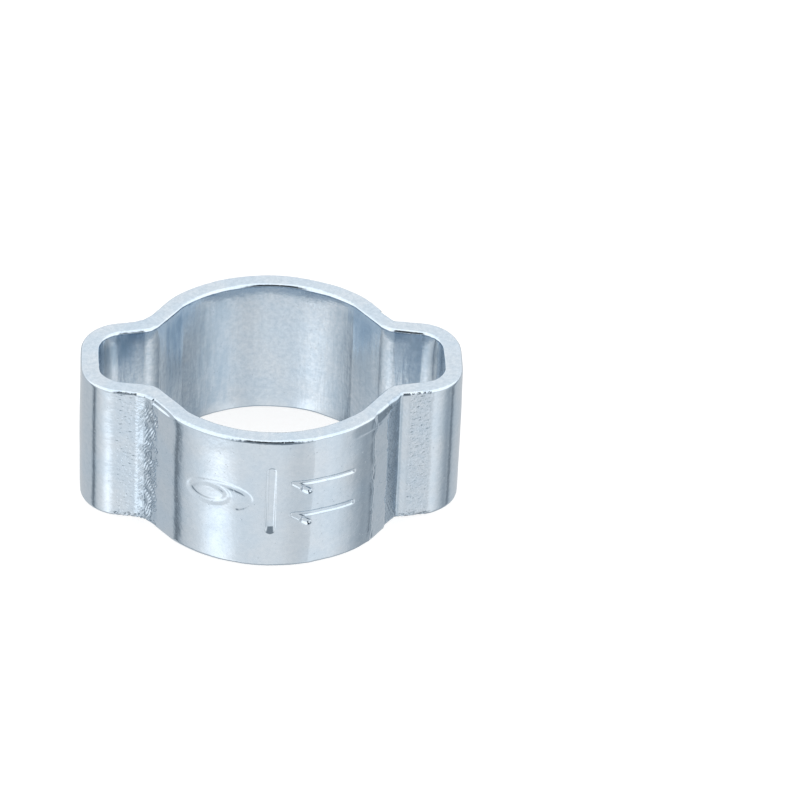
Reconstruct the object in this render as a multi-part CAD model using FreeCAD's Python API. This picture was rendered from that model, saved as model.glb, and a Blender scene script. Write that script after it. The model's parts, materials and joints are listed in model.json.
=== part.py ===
import FreeCAD, Part

import math
import os

# Double ear hose clamp, open, for hose of 9 to 11 mm outside diameter.
#
# It is one piece of steel: a slice of tube whose wall has been pushed out into two ears, on opposite
# sides. The wall keeps one thickness all the way round, through the band, the necks and the ears, so
# every outside curve has an inside curve on the same centre. Beside each neck the forming jaws leave
# a flat flank, a little inside the round outside of the band. A fitter squeezes the two necks of an
# ear together, which draws the band tight on the hose.
#
# Frame: +Z is the bore's axis, +X points through an ear, and the origin is the bore's centre at the
# lower rim. The clamp stands on that rim.

# Driving dimensions, in millimetres and degrees. A bend's radius is the one on its hollow side.
bore_radius = 5.5           # open bore
wall = 0.9                  # thickness of the steel
band_width = 7.0            # from the lower rim to the upper rim
flank_press = 0.07          # how far the flank lies inside the round outside
flank_spread = 9.6          # how many degrees further round than the neck the flank faces
shoulder_bend = 0.3         # between the round band and the flank, hollow side towards the bore
neck_bend = 0.65            # between the flank and the ear's side, hollow side outwards
ear_half_width = 2.87       # to the line where the outsides of the ear's side and the flank would meet
ear_taper = 9.7             # lean of each side of an ear towards its end
ear_height = 2.22           # how far an ear stands out past the round outside
ear_corner_bend = 1.1       # between the ear's side and its end, hollow side in the ear
ear_crown_bend = 19.0       # the almost flat end of an ear, hollow side in the ear
rim_round = 0.12            # rounding of the rims' edges

# Sizes that follow from them
outer_radius = bore_radius + wall
ear_reach = outer_radius + ear_height
flank_distance = outer_radius - flank_press
flank_angle = math.degrees(math.asin(ear_half_width / outer_radius)) + flank_spread
side_angle = 90.0 - ear_taper


def polar(angle, length=1.0):
    """Vector at an angle in degrees from the ear's direction."""
    turn = math.radians(angle)
    return FreeCAD.Vector(length * math.cos(turn), length * math.sin(turn), 0)


def crossing(normal_a, distance_a, normal_b, distance_b):
    """Point where two lines meet, each given by its unit normal and its distance from the axis."""
    spread = normal_a.x * normal_b.y - normal_a.y * normal_b.x
    x = (distance_a * normal_b.y - distance_b * normal_a.y) / spread
    y = (distance_b * normal_a.x - distance_a * normal_b.x) / spread
    return FreeCAD.Vector(x, y, 0)


def arc_points(centre, radius, start_angle, end_angle):
    """Start, middle and end of an arc."""
    middle_angle = (start_angle + end_angle) / 2
    return [centre + polar(angle, radius) for angle in (start_angle, middle_angle, end_angle)]


def quarter_outline(offset):
    """Stretches of an outline between the band's round part and the ear's crown, in the first quarter.

    The outline is the inside one, moved outwards by the offset. Each stretch is a list of points,
    two for a straight one and three for an arc.
    """
    round_radius = bore_radius + offset
    shoulder = shoulder_bend + offset
    flank = flank_distance - wall + offset
    neck = neck_bend + wall - offset
    corner = ear_corner_bend + offset
    crown = ear_crown_bend + offset

    # The shoulder touches the round band from inside and ends where it faces as the flank does.
    shoulder_turn = math.degrees(math.acos((flank - shoulder) / (round_radius - shoulder)))
    shoulder_centre = polar(flank_angle + shoulder_turn, round_radius - shoulder)

    # On the outside, the ear's side leaves the flank at the ear's half width.
    flank_normal = polar(flank_angle)
    side_normal = polar(side_angle)
    root = crossing(flank_normal, flank_distance, FreeCAD.Vector(0, 1, 0), ear_half_width)
    side = root.dot(side_normal) - wall + offset
    neck_centre = crossing(flank_normal, flank + neck, side_normal, side + neck)

    # The corner touches the side and, from inside, the crown.
    side_direction = polar(-ear_taper)
    crown_centre = FreeCAD.Vector(ear_reach - wall - ear_crown_bend, 0, 0)
    across = side - corner - crown_centre.dot(side_normal)
    along = crown_centre.dot(side_direction) + math.sqrt((crown - corner) ** 2 - across ** 2)
    corner_centre = side_normal * (side - corner) + side_direction * along
    from_crown = corner_centre - crown_centre
    crown_angle = math.degrees(math.atan2(from_crown.y, from_crown.x))

    shoulder_arc = arc_points(shoulder_centre, shoulder, flank_angle + shoulder_turn, flank_angle)
    neck_arc = arc_points(neck_centre, neck, flank_angle + 180, side_angle + 180)
    corner_arc = arc_points(corner_centre, corner, side_angle, crown_angle)
    flank_line = [shoulder_arc[-1], neck_arc[0]]
    side_line = [neck_arc[-1], corner_arc[0]]
    return [shoulder_arc, flank_line, neck_arc, side_line, corner_arc]


def edge(points):
    """Straight edge through two points, or arc through three."""
    if len(points) == 2:
        return Part.LineSegment(*points).toShape()
    return Part.Arc(*points).toShape()


def mirrored(point, sign_x, sign_y):
    """The point on the given sides of the two planes through the axis."""
    return FreeCAD.Vector(point.x * sign_x, point.y * sign_y, 0)


def outline_face(offset):
    """Flat face inside a whole outline: four quarters, the band's two round arcs and the two crowns."""
    quarter = quarter_outline(offset)
    edges = []
    for sign_x in (1, -1):
        for sign_y in (1, -1):
            for stretch in quarter:
                edges.append(edge([mirrored(point, sign_x, sign_y) for point in stretch]))
    round_end = quarter[0][0]
    round_top = FreeCAD.Vector(0, bore_radius + offset, 0)
    crown_end = quarter[-1][-1]
    crown_top = FreeCAD.Vector(ear_reach - wall + offset, 0, 0)
    for sign in (1, -1):
        round_arc = [mirrored(round_end, -1, sign), round_top * sign, mirrored(round_end, 1, sign)]
        crown_arc = [mirrored(crown_end, sign, 1), crown_top * sign, mirrored(crown_end, sign, -1)]
        edges.append(edge(round_arc))
        edges.append(edge(crown_arc))
    return Part.Face(Part.Wire(Part.sortEdges(edges)[0]))


def clamp_band():
    """The whole clamp: the wall between the two outlines, raised to the band's width, rims rounded."""
    section = outline_face(wall).cut(outline_face(0))
    band = section.extrude(FreeCAD.Vector(0, 0, band_width)).Solids[0]
    rim_edges = [candidate for candidate in band.Edges if candidate.BoundBox.ZLength < rim_round]
    return band.makeFillet(rim_round, rim_edges)


os.makedirs("parts", exist_ok=True)
clamp = clamp_band()
clamp.exportStep("parts/clamp_band.step")
box = clamp.optimalBoundingBox()
print(f"clamp_band: {box.XLength:.3f} x {box.YLength:.3f} x {box.ZLength:.3f} mm, "
      f"{clamp.Volume:.1f} mm3, valid {clamp.isValid()}")
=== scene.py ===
import json
import math

import bpy
import numpy as np
from mathutils import Matrix, Vector


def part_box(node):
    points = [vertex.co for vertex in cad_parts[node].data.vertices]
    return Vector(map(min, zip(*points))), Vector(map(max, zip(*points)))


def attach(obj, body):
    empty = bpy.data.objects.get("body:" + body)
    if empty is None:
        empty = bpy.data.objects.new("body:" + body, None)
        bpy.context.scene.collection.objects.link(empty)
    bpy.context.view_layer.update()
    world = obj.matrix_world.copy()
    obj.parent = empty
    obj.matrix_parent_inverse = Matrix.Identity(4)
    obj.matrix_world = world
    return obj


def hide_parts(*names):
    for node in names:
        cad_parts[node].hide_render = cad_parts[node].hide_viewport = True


# A double ear hose clamp of zinc plated steel, seen from above its front.
#
# The clamp is one closed surface over two parameters: the way along the outline of the wall, and the
# way round the wall's section. Way 0 is the middle of the band's front, and way grows to the right.
# "Folded" is the way measured in any quarter from the middle of the band towards the ear. Lengths are
# in millimetres until the mesh is made, and reliefs are depths pressed into the wall.

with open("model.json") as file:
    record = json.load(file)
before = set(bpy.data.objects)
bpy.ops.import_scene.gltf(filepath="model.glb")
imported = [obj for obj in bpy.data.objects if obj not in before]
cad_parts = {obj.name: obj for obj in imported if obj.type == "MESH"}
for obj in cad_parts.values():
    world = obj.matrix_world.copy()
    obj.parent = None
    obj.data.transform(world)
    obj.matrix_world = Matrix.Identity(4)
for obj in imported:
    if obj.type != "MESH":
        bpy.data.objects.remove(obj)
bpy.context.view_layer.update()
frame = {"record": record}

MM = 0.001
PIECE = "clamp_band"
low_corner, high_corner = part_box(PIECE)
mounts = {mount["name"]: mount for mount in frame["record"]["mounts"]}

# Sizes read from the frame
BORE_RADIUS = mounts["hose_bore"]["dims"]["r_mm"]
OUTER_RADIUS = high_corner[1] / MM
EAR_REACH = high_corner[0] / MM
BAND_WIDTH = high_corner[2] / MM
WALL = OUTER_RADIUS - BORE_RADIUS

# Bends of the wall. Radii are outside ones, and the neck's hollow faces outwards.
FLANK_PRESS = 0.07
FLANK_SPREAD = 9.6
SHOULDER_RADIUS = 1.2
NECK_RADIUS = 0.1
EAR_HALF_WIDTH = 2.87
EAR_TAPER = 9.7
EAR_CORNER_RADIUS = 2.0
EAR_CROWN_RADIUS = 19.9
RIM_ROUND = 0.145
RIM_ROUND_DRIFT = 0.02
RIM_ROUND_DRIFT_LENGTHS = (1.0, 5.0)
RIM_ROUND_NICKS = 0.006
RIM_ROUND_NICK_LENGTHS = (0.12, 0.5)

# Seeds of the random waves
SEEDS = {
    "crease": 3,
    "scratch shift": 5,
    "scratch share": 6,
    "pits": 11,
    "chips": 12,
    "rim drift": 21,
    "slow waves": 22,
    "rim nicks": 23,
}

# Stamped numbers: strokes on the band's front, as places (way, height). A stroke's shape is the half
# width of its floor's middle line to the middle of its walls, the walls' width, and its depth.
NINE_SHAPE = (0.125, 0.15, 0.026)
NINE_LOOP_CENTRE = (-3.10, 3.75)
NINE_LOOP_SEMI_AXES = (0.93, 0.50)
NINE_TAIL_CENTRE = (-2.55, 3.70)
NINE_TAIL_SEMI_AXES = (1.42, 0.62)
NINE_TAIL_ANGLES = (165.0, -52.0)
DASH_SHAPE = (0.19, 0.07)
DASH_ENDS = ((-0.17, 5.34), (-0.19, 2.07))
DASH_FLOOR_HEIGHTS = (1.84, 2.26, 5.50)
DASH_FLOOR_DEPTHS = (0.0, 0.10, 0.05)
ONE_SHAPES = ((0.09, 0.09, 0.075), (0.11, 0.10, 0.065))
ONE_HEIGHTS = (4.68, 2.94)
ONE_WAYS = (0.80, 3.68)
ONE_DROP = -0.06
ONE_FLAG = (0.70, -0.50)
ONE_FLAG_HEEL = 0.75
ONE_HEEL_SHAPE = (0.13, 0.08, 0.12)

# What the forming jaws leave, by the folded way from the middle of the band. Depths belong to the ways
# of the same name, and a minus stands for a raised place. "Sides" are shares on the left and the right,
# "lengths" are the shortest and the longest waves of a relief, and an edge is the width of a slope. A
# fade or a rise runs between two heights over a bevel's foot.
JAW_EDGE = 0.1
CREASE = 5.02
CREASE_WANDERS = (0.035, 0.06)
WANDER_LENGTHS = (0.35, 2.5)
CREASE_BEND = 0.45
CREASE_BEND_HEIGHT = 6.1
CREASE_EDGE = 0.10
CREASE_DIP = 0.042
CREASE_DIP_START = 4.2
CREASE_LIP = 0.015
CREASE_LIP_PLACE = (-0.09, -0.05)
CREASE_LIP_EDGE = 0.06
FLANK_LEDGE = 0.03
NECK_EDGE = 0.06
STRIP_WAYS = (6.15, 6.60, 7.06, 7.46)
LEFT_STRIP_DEPTHS = (0.0, 0.0, -0.10, 0.0)
RIGHT_STRIP_DEPTHS = (0.09, 0.07, 0.04, 0.0)
STRIP_WANDER = 0.4
SCRATCH_LEAN = 29.0
SCRATCH_PITCH = 0.125
SCRATCH_SHIFT = 0.3
SCRATCH_SHIFT_LENGTHS = (0.5, 2.0)
SCRATCH_SHARES = (0.5, 0.7, 1.4)
SCRATCH_SHARE_LENGTHS = (0.35, 1.0)
SCRATCH_DEPTH = 0.055
SCRATCH_SIDES = (1.0, 0.15)
SCRATCHED = (6.35, 7.32)
SCRATCHED_EDGE = 0.08
SCRATCHED_TOP = (6.5, 6.4)
SCRATCH_ENDS = 0.15
SCRATCH_MEAN = 0.3
RIM_LEDGE_WAYS = (4.95, 5.60)
RIM_LEDGE_WIDTHS = (0.16, 0.25)
RIM_LEDGE_DEPTHS = (0.03, 0.11)
RIM_LEDGE_END = 6.6
RIM_LEDGE_EDGE = 0.08
RIM_LEDGE_WANDER = 0.3
BEVEL_WAYS = (5.0, 5.3, 6.4, 7.06)
BEVEL_FEET = (6.35, 6.38, 6.50, 6.85)
BEVEL_DEPTHS = (0.04, 0.13, 0.13, 0.03)
BEVEL_FADE = (-0.05, 0.15)
RIM_STEP = 0.03
RIM_STEP_WAYS = (4.3, CREASE)
RIM_STEP_FADE = 0.7
RIM_STEP_RISE = (-0.03, 0.05)

# Roughness of shape, and a slight flat on the band's front that leans a little
PITTED = (7.50, 8.35)
PITTED_EDGE = 0.1
PITTED_SIDES = (0.6, 1.0)
PIT_DEPTH = 0.0065
PIT_LENGTHS = (0.10, 0.30)
CHIP_DEPTH = 0.13
CHIP_HEIGHTS = (0.40, 0.05)
CHIP_LENGTHS = (0.10, 0.25)
CHIP_EDGE = 0.2
CHIP_MOST = 1.5
FINE_WAVES = 40
FLAT_WAYS = (1.69, 2.25, 3.70)
FLAT_DEPTHS = (0.0, 0.03, 0.0)
FLAT_LEAN = 0.027
WAVE_DEPTH = 0.0045
WAVE_LENGTHS = (1.0, 4.5)
BARREL = 0.025

# Where the plating's colour is darkened by painted shade: inside at the necks, in the ears' hollows and
# in two upright streaks. It also darkens in a patch inside by the necks at the back, and on the
# scratched strips, where the darkening is partly wear and partly painted shade
PAINTED_SHADE_NECK = (5.4, 6.3)
PAINTED_SHADE_NECK_EDGE = 0.3
PAINTED_SHADE_NECK_HEIGHTS = (1.0, 6.0)
PAINTED_SHADE_HOLLOW = (7.4, 8.0)
PAINTED_SHADE_HOLLOW_HEIGHTS = (4.6, 6.2)
PAINTED_SHADE_EAR_SIDES = (0.85, 0.5)
PAINTED_SHADE_STREAKS = ((-21.0, -19.9, 1.2, 0.5), (18.9, 19.7, 0.5, 0.3))
DARK_PATCH = (4.7, 5.3)
DARK_PATCH_HEIGHTS = (5.9, 6.4)
DARK_PATCH_EDGES = (0.25, 0.2)
DARK_PATCH_SHARE = 0.45
STRIP_WEAR_AND_SHADE_SIDES = (0.10, 0.40)

# Rows of the mesh round the section, and columns per millimetre along the outline, with the ways that
# have more of them and the share of these that the back gets
OUTER_ROWS = 174
INNER_ROWS = 10
RIM_ROWS = 3
COLUMNS = 3.6
STAMP_COLUMNS = 14.0
STAMPED = (-4.3, 4.0)
STAMPED_EDGE = 0.3
NECK_COLUMNS = 24.0
NECK_FINE = (6.1, 7.35)
FINE_EDGE = 0.1
PIT_COLUMNS = 7.2
CREASE_COLUMNS = 15.0
CREASE_FINE = 0.2
BACK_COLUMNS = 0.75


def turned(angle, length=1.0):
    """Point at an angle in degrees from the ear's direction."""
    return length * np.array([math.cos(math.radians(angle)), math.sin(math.radians(angle))])


def arc(centre, radius, start, end, hollow, step):
    """Points on an arc, centre + radius * (cos a, sin a), and the way the wall faces, in degrees."""
    count = max(2, math.ceil(abs(math.radians(end - start)) * radius / step) + 1)
    angles = np.linspace(start, end, count)
    radians = np.radians(angles)
    points = np.asarray(centre) + radius * np.stack([np.cos(radians), np.sin(radians)], axis=1)
    return points, angles - (180.0 if hollow else 0.0)


def straight(start, end, facing, step):
    """Points spaced evenly from start to end, on a wall that faces one way."""
    count = max(2, math.ceil(np.linalg.norm(end - start) / step) + 1)
    share = np.linspace(0.0, 1.0, count)[:, None]
    return start + share * (end - start), np.full(count, facing)


def quarter_outline(step=0.004):
    """Outside of the wall from the middle of the band to the middle of an ear's end.

    Formula: seven stretches that meet in tangents. The round band turns into a tighter shoulder, then
    a straight flank; a hollow neck turns back to the ear's straight side, and a corner leads to the
    crown.
    Returns the points, the way the wall faces, the length along the outline, and the lengths at which
    the shoulder, flank, neck, side, corner and crown begin.
    """
    flank = OUTER_RADIUS - FLANK_PRESS
    flank_angle = math.degrees(math.asin(EAR_HALF_WIDTH / OUTER_RADIUS)) + FLANK_SPREAD
    side_angle = 90.0 - EAR_TAPER
    flank_normal = turned(flank_angle)
    side_normal = turned(side_angle)

    shoulder_cosine = (flank - SHOULDER_RADIUS) / (OUTER_RADIUS - SHOULDER_RADIUS)
    shoulder_angle = flank_angle + math.degrees(math.acos(shoulder_cosine))
    shoulder_centre = turned(shoulder_angle, OUTER_RADIUS - SHOULDER_RADIUS)

    root_x = (flank - flank_normal[1] * EAR_HALF_WIDTH) / flank_normal[0]
    side = side_normal @ np.array([root_x, EAR_HALF_WIDTH])
    normals = np.stack([flank_normal, side_normal])
    neck_centre = np.linalg.solve(normals, np.array([flank, side]) + NECK_RADIUS)

    side_direction = turned(-EAR_TAPER)
    crown_centre = np.array([EAR_REACH - EAR_CROWN_RADIUS, 0.0])
    across = side - EAR_CORNER_RADIUS - crown_centre @ side_normal
    inside_crown = EAR_CROWN_RADIUS - EAR_CORNER_RADIUS
    along = crown_centre @ side_direction + math.sqrt(inside_crown**2 - across**2)
    corner_centre = side_normal * (side - EAR_CORNER_RADIUS) + side_direction * along
    crown_angle = math.degrees(math.atan2(corner_centre[1], corner_centre[0] - crown_centre[0]))

    round_arc = arc((0, 0), OUTER_RADIUS, 90.0, shoulder_angle, False, step)
    shoulder_arc = arc(shoulder_centre, SHOULDER_RADIUS, shoulder_angle, flank_angle, False, step)
    neck_arc = arc(neck_centre, NECK_RADIUS, flank_angle + 180, side_angle + 180, True, step)
    corner_arc = arc(corner_centre, EAR_CORNER_RADIUS, side_angle, crown_angle, False, step)
    crown_arc = arc(crown_centre, EAR_CROWN_RADIUS, crown_angle, 0.0, False, step)
    flank_line = straight(shoulder_arc[0][-1], neck_arc[0][0], flank_angle, step)
    side_line = straight(neck_arc[0][-1], corner_arc[0][0], side_angle, step)

    stretches = [round_arc, shoulder_arc, flank_line, neck_arc, side_line, corner_arc, crown_arc]
    points = np.concatenate([stretch[0] for stretch in stretches])
    facing = np.concatenate([stretch[1] for stretch in stretches])
    lengths = np.concatenate([[0.0], np.cumsum(np.linalg.norm(np.diff(points, axis=0), axis=1))])
    ends = np.cumsum([len(stretch[0]) for stretch in stretches])[:-1]
    return points, facing, lengths, lengths[ends]


QUARTER_POINTS, QUARTER_FACING, QUARTER_LENGTHS, LANDMARKS = quarter_outline()
QUARTER = QUARTER_LENGTHS[-1]
NECK = (LANDMARKS[2] + LANDMARKS[3]) / 2


def fold(way):
    """Way measured from the middle of the band, front or back, towards the nearer ear."""
    return np.where(np.abs(way) > QUARTER, 2 * QUARTER - np.abs(way), np.abs(way))


def outline_at(way):
    """Outside points and outward directions at places along the whole outline.

    Formula: the way is folded into one quarter, read from that quarter's curve, and mirrored back: a
    negative way lies to the left, and one of more than a quarter's length lies at the back.
    """
    folded = fold(way)
    x = np.interp(folded, QUARTER_LENGTHS, QUARTER_POINTS[:, 0])
    y = np.interp(folded, QUARTER_LENGTHS, QUARTER_POINTS[:, 1])
    facing = np.radians(np.interp(folded, QUARTER_LENGTHS, QUARTER_FACING))
    side = np.where(way < 0, -1.0, 1.0)
    depth = np.where(np.abs(way) > QUARTER, 1.0, -1.0)
    points = np.stack([x * side, y * depth], axis=-1)
    directions = np.stack([np.cos(facing) * side, np.sin(facing) * depth], axis=-1)
    return points, directions


def smooth(low, high, value):
    """Smooth step from 0 at low to 1 at high; low may be the greater."""
    share = np.clip((value - low) / (high - low), 0.0, 1.0)
    return share * share * (3 - 2 * share)


def by_side(way, left, right):
    """The left value or share where the way is to the left, and the right one elsewhere."""
    return np.where(way < 0, left, right)


def between(start, end, edge, value):
    """1 from start to end, falling smoothly to 0 over the edge beyond each."""
    return smooth(start - edge, start, value) * smooth(end + edge, end, value)


def waves(places, seed, shortest, longest, count=24):
    """Smooth random relief, mostly within -1 to 1: a sum of sine waves in random directions.

    Formula: sin(k . place + phase), with wavelengths spread between the shortest and the longest.
    """
    random = np.random.default_rng(seed)
    total = np.zeros(places.shape[:-1])
    for _ in range(count):
        direction = random.normal(size=places.shape[-1])
        direction /= np.linalg.norm(direction)
        length = shortest * (longest / shortest) ** random.random()
        total += np.sin(places @ direction * (2 * math.pi / length) + random.uniform(0, 2 * math.pi))
    return total / math.sqrt(count)


def stroke_distance(way, height, stroke):
    """Distance from each place to a polyline: the least distance to any of its straight pieces."""
    nearest = np.full(way.shape, np.inf)
    for (way_a, height_a), (way_b, height_b) in zip(stroke[:-1], stroke[1:]):
        run = np.array([way_b - way_a, height_b - height_a])
        share = ((way - way_a) * run[0] + (height - height_a) * run[1]) / (run @ run)
        share = np.clip(share, 0.0, 1.0)
        gap = np.hypot(way - way_a - share * run[0], height - height_a - share * run[1])
        nearest = np.minimum(nearest, gap)
    return nearest


def ellipse(centre, semi_axes, start, end, count=40):
    """Points on an ellipse, centre + (a cos t, b sin t), between two angles in degrees."""
    angles = np.radians(np.linspace(start, end, count))
    return np.asarray(centre) + np.stack([np.cos(angles), np.sin(angles)], axis=1) * semi_axes


def stamped_strokes(height):
    """Strokes of the hose range, turned so that the figures' tops point left: 9, a dash, and 11.

    Each is a line of places, with its half width, its walls' width and its depth. The dash's floor
    sinks towards its lower end and rises to it in a steep ramp.
    """
    dash_depth = np.interp(height, DASH_FLOOR_HEIGHTS, DASH_FLOOR_DEPTHS)
    strokes = [
        (ellipse(NINE_LOOP_CENTRE, NINE_LOOP_SEMI_AXES, 0, 360), *NINE_SHAPE),
        (ellipse(NINE_TAIL_CENTRE, NINE_TAIL_SEMI_AXES, *NINE_TAIL_ANGLES), *NINE_SHAPE),
        (DASH_ENDS, *DASH_SHAPE, dash_depth),
    ]
    for one_height, shape in zip(ONE_HEIGHTS, ONE_SHAPES):
        top = np.array([ONE_WAYS[0], one_height])
        foot = np.array([ONE_WAYS[1], one_height + ONE_DROP])
        flag = top + ONE_FLAG
        strokes += [((top, foot), *shape), ((top, flag), *shape)]
        strokes.append(((top + ONE_FLAG_HEEL * (flag - top), flag), *ONE_HEEL_SHAPE))
    return strokes


def stamp_relief(way, height):
    """How deep the stamped numbers are: the deepest of their strokes.

    Formula: a stroke's depth times a smooth step of the distance to its line, across its wall.
    """
    relief = np.zeros(way.shape)
    for stroke, half_width, wall, depth in stamped_strokes(height):
        distance = stroke_distance(way, height, stroke)
        share = smooth(half_width + wall / 2, half_width - wall / 2, distance)
        relief = np.maximum(relief, depth * share)
    return relief


def surface_places(way, height):
    """Places on the outside as pairs of way and height, for the waves."""
    return np.stack([way, height], axis=-1)


def crease_wander(way, height):
    """How far the crease strays from its way: smooth noise, more of it on the right."""
    wander = waves(surface_places(way, height), SEEDS["crease"], *WANDER_LENGTHS)
    return by_side(way, *CREASE_WANDERS) * wander


def flank_relief(way, height):
    """The flank that the jaws press below the round band, from the crease to the neck.

    Formula: a smooth step down at the wandering crease, with a slight dip before it that grows with
    the square of the way. On the right the crease has a raised lip, and bends to the ear near the rim.
    """
    folded = fold(way)
    on_right = way > 0
    bend = CREASE_BEND * smooth(CREASE_BEND_HEIGHT, BAND_WIDTH, height) * on_right
    past_crease = folded + crease_wander(way, height) - bend - CREASE
    on_flank = smooth(-CREASE_EDGE / 2, CREASE_EDGE / 2, past_crease)
    ledge = FLANK_LEDGE * on_flank * smooth(NECK + NECK_EDGE / 2, NECK - NECK_EDGE / 2, folded)
    dip = CREASE_DIP * np.clip(folded - CREASE_DIP_START, 0.0, CREASE - CREASE_DIP_START) ** 2
    lip = CREASE_LIP * between(*CREASE_LIP_PLACE, CREASE_LIP_EDGE, past_crease) * on_right
    return ledge + dip * (1 - on_flank) - lip


def scratches(way, height):
    """Scratches by a neck, as shares of their depth, which lean from the upright towards the band.

    Formula: a cosine of the place across them, squared, times a share. Smooth noise shifts the cosine,
    and other noise sets the share, so that each scratch is short and irregular.
    """
    places = surface_places(way, height)
    lean = math.radians(SCRATCH_LEAN)
    across = fold(way) * math.cos(lean) + height * math.sin(lean)
    shift = waves(places, SEEDS["scratch shift"], *SCRATCH_SHIFT_LENGTHS)
    turns = across / SCRATCH_PITCH + SCRATCH_SHIFT * shift
    usual, spread, most = SCRATCH_SHARES
    share = waves(places, SEEDS["scratch share"], *SCRATCH_SHARE_LENGTHS, FINE_WAVES)
    share = np.clip(usual + spread * share, 0.0, most)
    return (0.5 + 0.5 * np.cos(2 * math.pi * turns)) ** 2 * share


def strip_relief(way, height):
    """The strip by the neck, with its scratches: raised on the left, and sunk on the right.

    Formula: a depth that goes in straight ramps between the strip's ways, and then the scratches. Its
    first edge wanders a little, the scratches' ends follow their own pattern, and those on the right
    are faint.
    """
    folded = fold(way)
    left_depth = np.interp(folded, STRIP_WAYS, LEFT_STRIP_DEPTHS)
    right_depth = np.interp(folded, STRIP_WAYS, RIGHT_STRIP_DEPTHS)
    past_edge = folded - STRIP_WAYS[0] + STRIP_WANDER * crease_wander(way, height)
    on_strip = smooth(-CREASE_EDGE / 2, CREASE_EDGE / 2, past_edge)
    marks = scratches(way, height)
    frayed = folded + SCRATCH_ENDS * (marks - SCRATCH_MEAN)
    marked = between(*SCRATCHED, SCRATCHED_EDGE, frayed) * smooth(*SCRATCHED_TOP, height)
    scratched = SCRATCH_DEPTH * marks * marked * by_side(way, *SCRATCH_SIDES)
    return by_side(way, left_depth, right_depth) * on_strip + scratched


def with_rim_ledge(pressed, way, height):
    """The relief with a level ledge let into it, in front on the left along the upper rim.

    Formula: the relief is blended into the ledge's depth above the ledge's edge. The ledge is
    narrower and shallower towards the crease.
    """
    folded = fold(way)
    width = np.interp(folded, RIM_LEDGE_WAYS, RIM_LEDGE_WIDTHS)
    front_left = (way < 0) & (way > -QUARTER)
    over_edge = height - (BAND_WIDTH - width + RIM_LEDGE_WANDER * crease_wander(way, height))
    share = smooth(-RIM_LEDGE_EDGE / 2, RIM_LEDGE_EDGE / 2, over_edge) * front_left
    share = share * between(RIM_LEDGE_WAYS[0], RIM_LEDGE_END, JAW_EDGE, folded)
    return pressed + share * (np.interp(folded, RIM_LEDGE_WAYS, RIM_LEDGE_DEPTHS) - pressed)


def with_bevel(pressed, way, height):
    """The relief with a bevel in its place, in front on the right along the upper rim.

    Formula: the relief fades out above the bevel's foot, and from there the depth grows evenly to the
    rim. A shallow step on the band leads to the bevel.
    """
    folded = fold(way)
    front_right = (way > 0) & (way < QUARTER)
    foot = np.interp(folded, BEVEL_WAYS, BEVEL_FEET)
    share = between(BEVEL_WAYS[0], BEVEL_WAYS[-1], JAW_EDGE, folded) * front_right
    over_foot = np.clip((height - foot) / (BAND_WIDTH - foot), 0.0, 1.0)
    bevel = np.interp(folded, BEVEL_WAYS, BEVEL_DEPTHS) * over_foot * share
    step = smooth(*RIM_STEP_RISE, height - BEVEL_FEET[0]) * front_right
    step = RIM_STEP * step * between(*RIM_STEP_WAYS, RIM_STEP_FADE, folded)
    return pressed * (1 - share * smooth(*BEVEL_FADE, height - foot)) + bevel + step


def jaw_relief(way, height):
    """What the forming jaws leave: the flanks and strips, with the ledge and bevel along the rim."""
    pressed = flank_relief(way, height) + strip_relief(way, height)
    return with_bevel(with_rim_ledge(pressed, way, height), way, height)


def rough_relief(way, height):
    """Pits on the ears' sides, chips along their lower edges, and a slight flat on the band's front.

    Formula: pits are waves about a mean depth. Chips are the hollows of other waves, deeper towards
    the rim. The flat's depth goes in straight ramps between its ways, which lean with the height.
    """
    folded = fold(way)
    places = surface_places(way, height)
    pits = PIT_DEPTH * (1 + waves(places, SEEDS["pits"], *PIT_LENGTHS, FINE_WAVES))
    pits = pits * between(*PITTED, PITTED_EDGE, folded)
    chips = np.clip(waves(places, SEEDS["chips"], *CHIP_LENGTHS, FINE_WAVES), 0.0, CHIP_MOST)
    chips = chips * smooth(*CHIP_HEIGHTS, height) * between(NECK, PITTED[1], CHIP_EDGE, folded)
    flat = np.interp(way - FLAT_LEAN * (height - BAND_WIDTH / 2), FLAT_WAYS, FLAT_DEPTHS)
    return pits + CHIP_DEPTH * chips + flat


def columns_at(way):
    """Columns per millimetre of outline: closest in the stamped front, the necks and the creases."""
    folded = fold(way)
    share = np.where(np.abs(way) > QUARTER, BACK_COLUMNS, 1.0)
    stamp = STAMP_COLUMNS * between(*STAMPED, STAMPED_EDGE, way)
    neck = NECK_COLUMNS * between(*NECK_FINE, FINE_EDGE, folded)
    pits = PIT_COLUMNS * between(NECK_FINE[1], PITTED[1] + FINE_EDGE, FINE_EDGE, folded)
    crease = CREASE_COLUMNS * between(CREASE - CREASE_FINE, CREASE + CREASE_FINE, CREASE_FINE, folded)
    return COLUMNS + stamp + share * (neck + pits + crease)


def spaced(ends, density, samples=8001):
    """Places between two ends whose spacing follows a density per millimetre."""
    fine = np.linspace(ends[0], ends[1], samples)
    total = np.concatenate([[0.0], np.cumsum(density(fine)[1:] * np.diff(fine))])
    return np.interp(np.linspace(0.0, total[-1], round(total[-1]) + 1), total, fine)


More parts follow.
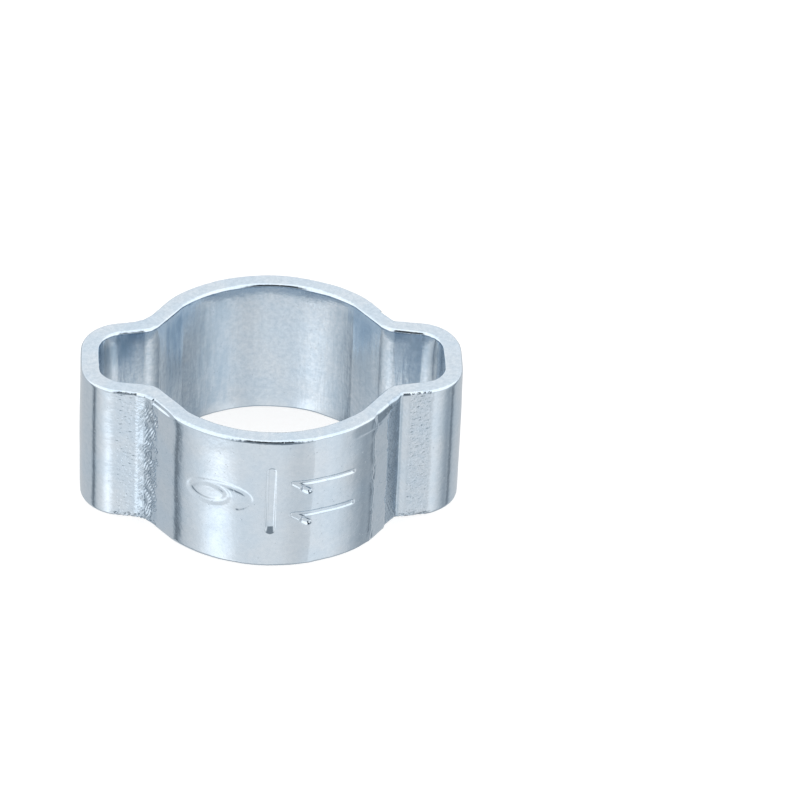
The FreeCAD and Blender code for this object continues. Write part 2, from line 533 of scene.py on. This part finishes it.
def section_ring():
    """The wall's section as a closed ring of rows, gone round upwards from the lower outside corner.

    Formula: a rectangle of the wall's thickness by the band's width, with quarter circles for corners.
    A row's depth under the outside is share 0 * wall + share 1 * rounding, and its height is
    share 2 * band width + share 3 * rounding. Straight runs join the corners.
    """
    corners = ((0, 0, 270, 4), (0, 1, 180, 7), (1, 1, 90, 5), (1, 0, 0, 4))
    runs = (OUTER_ROWS, RIM_ROWS, INNER_ROWS, RIM_ROWS)
    arcs = []
    for inner, upper, start, rows in corners:
        angle = np.radians(np.linspace(start, start - 90, rows))
        depth = 1 - 2 * inner + np.cos(angle)
        height = 1 - 2 * upper + np.sin(angle)
        arcs.append(np.stack([np.full(rows, inner), depth, np.full(rows, upper), height], axis=1))
    ring = []
    for corner, following, rows in zip(arcs, arcs[1:] + arcs[:1], runs):
        share = np.linspace(0.0, 1.0, rows + 2)[1:-1, None]
        ring += [corner, corner[-1] + share * (following[0] - corner[-1])]
    return np.concatenate(ring).T


def clamp_surface():
    """The clamp's surface: the section's ring carried along the outline.

    Formula: point(way, row) = outside(way) - (depth(row) + relief(way, row)) * outward(way), at
    height(row). The inside wall has only slow waves, and a very slight barrel shape that the outside
    has too. Returns the points, and each place's way, height and depth.
    """
    way = spaced((-2 * QUARTER, 2 * QUARTER), columns_at)[:-1]
    points, directions = outline_at(way)
    wall_share, wall_round, band_share, band_round = section_ring()
    drift = RIM_ROUND_DRIFT * waves(points, SEEDS["rim drift"], *RIM_ROUND_DRIFT_LENGTHS)
    nicks = RIM_ROUND_NICKS * waves(points, SEEDS["rim nicks"], *RIM_ROUND_NICK_LENGTHS)
    rounding = (RIM_ROUND + drift + nicks)[:, None]
    depth = wall_share * WALL + wall_round * rounding
    height = band_share * BAND_WIDTH + band_round * rounding
    way = np.broadcast_to(way[:, None], depth.shape)

    outside = smooth(0.4 * WALL, 0.0, depth)
    inside = smooth(0.6 * WALL, WALL, depth)
    plan_places = np.broadcast_to(points[:, None], depth.shape + (2,))
    places = np.concatenate([plan_places, height[..., None]], axis=-1)
    slow = WAVE_DEPTH * (2 + waves(places, SEEDS["slow waves"], *WAVE_LENGTHS))
    slow = slow + BARREL * (2 * height / BAND_WIDTH - 1) ** 2
    pressed = stamp_relief(way, height) + jaw_relief(way, height) + rough_relief(way, height)
    relief = outside * (pressed + slow) - inside * slow
    plan = points[:, None] - (depth + relief)[..., None] * directions[:, None]
    return np.concatenate([plan, height[..., None]], axis=-1), way, height, depth


def closed_grid_piece(name, vertices, marks, chart):
    """Object of quads over a grid that closes on itself both ways, with marks for its material.

    Marks are named values per vertex. The chart gives each place's way and its way round the section,
    and becomes the UV map; a lap is added where the grid closes, so that the chart doesn't run back.
    """
    columns, rows = vertices.shape[:2]
    index = np.arange(columns * rows).reshape(columns, rows)
    right = np.roll(index, -1, axis=0)
    faces = np.stack([index, right, np.roll(right, -1, axis=1), np.roll(index, -1, axis=1)], axis=-1)
    mesh = bpy.data.meshes.new(name)
    mesh.vertices.add(index.size)
    mesh.vertices.foreach_set("co", (vertices * MM).ravel())
    mesh.loops.add(faces.size)
    mesh.loops.foreach_set("vertex_index", faces.ravel())
    mesh.polygons.add(index.size)
    mesh.polygons.foreach_set("loop_start", np.arange(0, faces.size, 4))
    mesh.polygons.foreach_set("use_smooth", np.ones(index.size, dtype=bool))
    mesh.update(calc_edges=True)
    for mark, values in marks.items():
        attribute = mesh.attributes.new(mark, "FLOAT", "POINT")
        attribute.data.foreach_set("value", np.ascontiguousarray(values, dtype=np.float32).ravel())
    along, around = np.meshgrid(*chart, indexing="ij")
    places = np.stack([along, around], axis=-1)
    corners = [places[:-1, :-1], places[1:, :-1], places[1:, 1:], places[:-1, 1:]]
    layer = mesh.uv_layers.new(name="along_and_round")
    layer.uv.foreach_set("vector", np.stack(corners, axis=2).ravel())
    piece = bpy.data.objects.new(name, mesh)
    bpy.context.scene.collection.objects.link(piece)
    return piece


def darkening_by_shade_and_wear(way, height, inside, scratched):
    """How far the plating's colour darkens, from 0 to 1: painted shade where it is inside, and wear
    with painted shade where it is scratched.
    """
    folded = fold(way)
    # Painted shade inside the wall: at the necks, in the ears' hollows and in two upright bands, as
    # where little light reaches
    neck = between(*PAINTED_SHADE_NECK, PAINTED_SHADE_NECK_EDGE, folded) * smooth(*PAINTED_SHADE_NECK_HEIGHTS, height)
    hollow = smooth(*PAINTED_SHADE_HOLLOW, folded) * smooth(*PAINTED_SHADE_HOLLOW_HEIGHTS, height)
    shady = (neck + hollow) * by_side(way, *PAINTED_SHADE_EAR_SIDES)
    for start, end, edge, amount in PAINTED_SHADE_STREAKS:
        shady = shady + amount * between(start, end, edge, way)
    # A darker patch inside the wall, by the necks at the back, near the upper rim
    dark_patch = between(*DARK_PATCH, DARK_PATCH_EDGES[0], folded) * (np.abs(way) > QUARTER)
    dark_patch = dark_patch * between(*DARK_PATCH_HEIGHTS, DARK_PATCH_EDGES[1], height)
    shady = shady + DARK_PATCH_SHARE * dark_patch
    # The scratched strips darken partly as worn plating and partly as painted shade, more on the right
    return inside * shady + scratched * by_side(way, *STRIP_WEAR_AND_SHADE_SIDES)


def clamp():
    """The clamp as a piece, with marks of where it is a rim, inside, darkened by painted shade or wear,
    scratched or pitted.
    """
    vertices, way, height, depth = clamp_surface()
    folded = fold(way)
    outside = smooth(0.3 * WALL, 0.0, depth)
    from_rim = np.minimum(height, BAND_WIDTH - height)
    inside = smooth(0.8 * WALL, WALL, depth) * smooth(0.9 * RIM_ROUND, 1.8 * RIM_ROUND, from_rim)
    strip_end = by_side(way, STRIP_WAYS[3] - JAW_EDGE, NECK)
    scratched = outside * between(STRIP_WAYS[0] + JAW_EDGE, strip_end, JAW_EDGE, folded)
    pitted = outside * between(*PITTED, PITTED_EDGE, folded) * by_side(way, *PITTED_SIDES)
    marks = {
        "rim": smooth(0.3 * RIM_ROUND, 0.0, from_rim),
        "inside": inside,
        "shade_and_wear": darkening_by_shade_and_wear(way, height, inside, scratched),
        "scratched": scratched,
        "pitted": pitted,
    }
    ring = np.stack([depth[0], height[0]], axis=1)
    steps = np.linalg.norm(np.roll(ring, -1, axis=0) - ring, axis=1)
    around = np.concatenate([[0.0], np.cumsum(steps)])
    along = np.append(way[:, 0], 2 * QUARTER)
    return closed_grid_piece("clamp", vertices, marks, (along, around))


class Nodes:
    """Adds linked nodes to a tree. A value is a socket, which is linked, or a number, which is set."""

    def __init__(self, tree):
        self.tree = tree
        tree.nodes.clear()

    def put(self, socket, value):
        if isinstance(value, bpy.types.NodeSocket):
            self.tree.links.new(value, socket)
        else:
            socket.default_value = value

    def add(self, kind, inputs=None, **settings):
        node = self.tree.nodes.new(kind)
        for key, value in settings.items():
            setattr(node, key, value)
        for key, value in (inputs or {}).items():
            self.put(node.inputs[key], value)
        return node

    def math(self, operation, *values):
        node = self.add("ShaderNodeMath", operation=operation)
        for socket, value in zip(node.inputs, values):
            self.put(socket, value)
        return node.outputs[0]

    def ramp(self, value, low, high):
        """Smooth step from 0 at low to 1 at high."""
        inputs = {"Value": value, "From Min": low, "From Max": high}
        return self.add("ShaderNodeMapRange", inputs, interpolation_type="SMOOTHSTEP").outputs["Result"]

    def blend(self, share, first, second):
        """Number between first and second."""
        return self.add("ShaderNodeMix", {0: share, 2: first, 3: second}, data_type="FLOAT").outputs[0]

    def tint(self, share, first, second):
        """Colour between first and second."""
        return self.add("ShaderNodeMix", {0: share, 6: first, 7: second}, data_type="RGBA").outputs[2]

    def mark(self, name):
        return self.add("ShaderNodeAttribute", attribute_name=name).outputs["Fac"]

    def noise(self, place, size, detail=2.0, stretch=(1, 1, 1), offset=(0, 0, 0), fineness=0.5):
        """Smooth noise about -1 to 1, with lumps of a size in millimetres and finer detail on them."""
        mapping = self.add("ShaderNodeMapping", {"Vector": place, "Scale": stretch, "Location": offset})
        inputs = {"Vector": mapping.outputs[0], "Scale": 1 / size}
        inputs.update({"Detail": detail, "Roughness": fineness})
        value = self.add("ShaderNodeTexNoise", inputs).outputs[0]
        return self.math("MULTIPLY_ADD", value, 4.0, -2.0)


# The plating's colours, grain and roughness, plain and where a mark is set, and the heights of its fine
# relief in millimetres. Every place darkened by painted shade or wear has the second of the streaks'
# shares, and where a streak is, up to the first on top.
BLUE_ZINC = (0.655, 0.755, 0.85, 1.0)
PALE_ZINC = (0.71, 0.78, 0.845, 1.0)
# The dark zinc is the grain's colour and the colour of painted shade
GRAIN_AND_SHADE_ZINC = (0.34, 0.46, 0.58, 1.0)
STREAK_SHARES = (0.7, 0.6)
GRAIN = 0.20
GRAIN_MORE = {"inside": 0.22, "scratched": 0.20, "pitted": 0.13, "rim": 0.16}
ROUGHNESS = 0.115
ROUGHNESS_CLOUDS = 0.022
ROUGHNESS_MARKED = {"rim": 0.20, "inside": 0.22, "scratched": 0.12, "pitted": 0.13}
PEEL_HEIGHT = 0.0011
MARKED_HEIGHTS = {"scratched": 0.0015, "pitted": 0.0092, "inside": 0.0026, "rim": 0.0028}
NODULE_HEIGHT = 0.005
NODULE_RAMP = (0.8, 1.25)


def zinc_plated_steel():
    """Bright zinc over steel, with a cool tint that drifts: smooth outside, duller on rims and inside.

    The outside has faint orange peel and scattered nodules. The rims carry fine marks across, from
    shearing; the inside has faint streaks along the bore, from drawing; and the strips and sides that
    the jaws pressed are finely rough.
    """
    material = bpy.data.materials.new("zinc_plated_steel")
    material.use_nodes = True
    n = Nodes(material.node_tree)
    metres = n.add("ShaderNodeTexCoord").outputs["Object"]
    to_millimetres = {0: metres, 1: (1 / MM, 1 / MM, 1 / MM)}
    place = n.add("ShaderNodeVectorMath", to_millimetres, operation="MULTIPLY").outputs[0]
    chart = n.add("ShaderNodeUVMap", uv_map="along_and_round").outputs[0]
    marks = {name: n.mark(name) for name in ("rim", "inside", "shade_and_wear", "scratched", "pitted")}

    drift = n.ramp(n.noise(place, size=1.8, detail=3.0), -0.8, 0.8)
    colour = n.tint(drift, BLUE_ZINC, PALE_ZINC)
    # Painted shade, and wear on the strips: the colour darkens towards the dark zinc where the mark is
    # set, broken up by streaks
    streaks = n.noise(place, size=0.30, detail=3.0, stretch=(1, 1, 0.2), offset=(0, 4, 0))
    streaky = n.math("MULTIPLY_ADD", n.ramp(streaks, -0.9, 0.9), *STREAK_SHARES)
    colour = n.tint(n.math("MULTIPLY", streaky, marks["shade_and_wear"]), colour, GRAIN_AND_SHADE_ZINC)
    grain = n.noise(place, size=0.22, detail=5.0, offset=(3, 0, 0), fineness=0.68)
    grain = n.ramp(grain, -1.0, 1.0)
    graininess = GRAIN
    for name, more in GRAIN_MORE.items():
        graininess = n.math("MULTIPLY_ADD", marks[name], more, graininess)
    colour = n.tint(n.math("MULTIPLY", grain, graininess), colour, GRAIN_AND_SHADE_ZINC)

    clouds = n.noise(place, size=0.9, detail=3.0, offset=(0, 7, 0))
    roughness = n.math("MULTIPLY_ADD", clouds, ROUGHNESS_CLOUDS, ROUGHNESS)
    for name, marked in ROUGHNESS_MARKED.items():
        roughness = n.blend(marks[name], roughness, marked)

    height = n.math("MULTIPLY", n.noise(place, size=0.22), PEEL_HEIGHT)
    lumps = {
        "scratched": n.noise(place, size=0.12, detail=1.0, offset=(0, 6, 0)),
        "pitted": n.noise(place, size=0.12, offset=(0, 0, 5)),
        "inside": n.noise(place, size=0.20, stretch=(1, 1, 0.15)),
        "rim": n.noise(chart, size=0.12, stretch=(1, 0.15, 1)),
    }
    for name, marked_height in MARKED_HEIGHTS.items():
        relief = n.math("MULTIPLY", lumps[name], n.math("MULTIPLY", marks[name], marked_height))
        height = n.math("ADD", height, relief)
    nodules = n.ramp(n.noise(place, size=0.11, detail=1.0, offset=(9, 0, 0)), *NODULE_RAMP)
    height = n.math("ADD", height, n.math("MULTIPLY", nodules, NODULE_HEIGHT))
    bump = n.add("ShaderNodeBump", {"Height": height, "Distance": MM, "Strength": 1.0})

    inputs = {"Base Color": colour, "Roughness": roughness, "Metallic": 1.0, "Normal": bump.outputs[0]}
    shader = n.add("ShaderNodeBsdfPrincipled", inputs)
    out = n.add("ShaderNodeOutputMaterial")
    n.put(out.inputs["Surface"], shader.outputs["BSDF"])
    return material


# Sheets of paper and gaps between them round the clamp, as its plating shows them: name, middle
# azimuth and half width, middle elevation and half height, soft edge across, and brightness. Degrees;
# azimuth 0 is to the right, 90 behind and 270 in front. Each covers those before it.
PLAIN_LEVEL = 0.65
EDGE_UPWARDS = 6.0
SHEETS = (
    ("above", 0, 180, 48, 45, 0.1, 1.40),
    ("behind, raised", 90, 75, 32, 25, 20, 1.02),
    ("front", 255, 56, -55, 45, 26, 0.90),
    ("front, turned away", 293, 10, -55, 45, 20, 0.76),
    ("key", 226, 9.5, -78, 42, 22, 1.43),
    ("right front", 335.0, 28.5, -55, 45, 1.5, 0.97),
    ("right, far", 355, 18, -55, 45, 46, 0.40),
    ("right gap", 9, 5, -55, 45, 10, 0.26),
    ("left gap", 181.5, 4.5, -55, 45, 12, 0.16),
    ("camera's stand", 268, 27, 4, 24, 14, 0.28),
    ("camera", 266, 25, 47, 23, 14, 0.05),
    ("clamp's own shade", 0, 180, -90, 24, 0.1, 0.50),
)
SHADE_TINT = (0.86, 0.98, 1.09, 1.0)
SHADE_LEVELS = (0.15, 0.85)
WHITE = (1.0, 1.0, 1.0, 1.0)
FLOOR_REACH = 3.0
FLOOR_PAPER = (0.3, 0.3, 0.3, 1.0)
FLOOR_GLOW = 0.80


def studio_world():
    """White room for the camera; for the clamp's gloss, paper sheets with gaps between them.

    A sheet covers a direction by one smooth step of the angle from its middle azimuth, times another
    of the angle from its middle elevation.
    """
    world = bpy.data.worlds.new("studio")
    bpy.context.scene.world = world
    world.use_nodes = True
    n = Nodes(world.node_tree)
    direction = n.add("ShaderNodeTexCoord").outputs["Generated"]
    axes = n.add("ShaderNodeSeparateXYZ", {"Vector": direction}).outputs
    azimuth = n.math("MULTIPLY", n.math("ARCTAN2", axes["Y"], axes["X"]), 180 / math.pi)
    elevation = n.math("MULTIPLY", n.math("ARCSINE", axes["Z"]), 180 / math.pi)
    level = PLAIN_LEVEL
    for _, middle, half_width, raised, half_height, edge, brightness in SHEETS:
        turn = n.math("WRAP", n.math("SUBTRACT", azimuth, middle), 180.0, -180.0)
        aside = n.math("ABSOLUTE", turn)
        above = n.math("ABSOLUTE", n.math("SUBTRACT", elevation, raised))
        across = n.ramp(aside, half_width + edge / 2, half_width - edge / 2)
        upwards = n.ramp(above, half_height + EDGE_UPWARDS / 2, half_height - EDGE_UPWARDS / 2)
        level = n.blend(n.math("MULTIPLY", across, upwards), level, brightness)
    colour = n.tint(n.ramp(level, *SHADE_LEVELS), SHADE_TINT, WHITE)
    is_camera = n.add("ShaderNodeLightPath").outputs["Is Camera Ray"]
    level = n.blend(is_camera, level, 1.0)
    colour = n.tint(is_camera, colour, WHITE)
    background = n.add("ShaderNodeBackground", {"Strength": level, "Color": colour})
    out = n.add("ShaderNodeOutputWorld")
    n.put(out.inputs["Surface"], background.outputs["Background"])


def paper_floor():
    """White floor under the clamp. It takes the clamp's shadow, and the plating looks through it."""
    ways = ((-1, -1), (1, -1), (1, 1), (-1, 1))
    corners = [(x * FLOOR_REACH, y * FLOOR_REACH, 0) for x, y in ways]
    mesh = bpy.data.meshes.new("floor")
    mesh.from_pydata(corners, [], [(0, 1, 2, 3)])
    floor = bpy.data.objects.new("floor", mesh)
    bpy.context.scene.collection.objects.link(floor)
    material = bpy.data.materials.new("floor_paper")
    material.use_nodes = True
    n = Nodes(material.node_tree)
    paper = n.add("ShaderNodeBsdfDiffuse", {"Color": FLOOR_PAPER})
    glow = n.add("ShaderNodeEmission", {"Color": WHITE, "Strength": FLOOR_GLOW})
    both = n.add("ShaderNodeAddShader", {0: paper.outputs[0], 1: glow.outputs[0]})
    clear = n.add("ShaderNodeBsdfTransparent")
    is_glossy = n.add("ShaderNodeLightPath").outputs["Is Glossy Ray"]
    mix = n.add("ShaderNodeMixShader", {0: is_glossy, 1: both.outputs[0], 2: clear.outputs[0]})
    out = n.add("ShaderNodeOutputMaterial")
    n.put(out.inputs["Surface"], mix.outputs[0])
    mesh.materials.append(material)


# The photograph's camera: its place from the bore's centre at the lower rim, in degrees and
# millimetres, its roll and lens, and the pixel of that centre in a picture of 800 by 800 pixels
CAMERA_AZIMUTH = -3.0
CAMERA_ELEVATION = 37.51
CAMERA_DISTANCE = 290.0
CAMERA_ROLL = -1.73
CAMERA_LENS = 286.05
SENSOR = 36.0
PICTURE = 800
CENTRE_PIXEL = (270.7, 484.2)


def photograph_camera():
    """Camera on a long lens, turned so that the bore's centre lands on its pixel.

    Formula: the camera looks at the centre from its azimuth and elevation. It is turned and nodded
    until the centre lies as far off the picture's middle as its pixel does, and then rolled.
    """
    azimuth = math.radians(CAMERA_AZIMUTH)
    elevation = math.radians(CAMERA_ELEVATION)
    level = math.cos(elevation)
    back = Vector((math.sin(azimuth) * level, -math.cos(azimuth) * level, math.sin(elevation)))
    position = back * CAMERA_DISTANCE * MM
    right = Vector((0, 0, 1)).cross(back).normalized()
    up = back.cross(right)
    pixels = CAMERA_LENS / SENSOR * PICTURE
    across = (CENTRE_PIXEL[0] - PICTURE / 2) / pixels
    above = (PICTURE / 2 - CENTRE_PIXEL[1]) / pixels
    axes = Matrix((right, up, back)).transposed()
    axes = Matrix.Rotation(math.atan(across), 3, up) @ axes
    axes = Matrix.Rotation(-math.atan2(above, math.hypot(across, 1.0)), 3, axes.col[0]) @ axes
    axes = Matrix.Rotation(math.radians(CAMERA_ROLL), 3, -axes.col[2]) @ axes
    camera = bpy.data.objects.new("camera", bpy.data.cameras.new("camera"))
    camera.data.lens = CAMERA_LENS
    camera.data.sensor_width = SENSOR
    camera.data.clip_start = 0.01
    camera.data.clip_end = 20.0
    camera.matrix_world = Matrix.Translation(position) @ axes.to_4x4()
    bpy.context.scene.collection.objects.link(camera)
    bpy.context.scene.camera = camera


bpy.context.scene.view_settings.view_transform = "Standard"
photograph_camera()
studio_world()
paper_floor()

piece = clamp()
piece.data.materials.append(zinc_plated_steel())
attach(piece, "root")
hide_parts(PIECE)
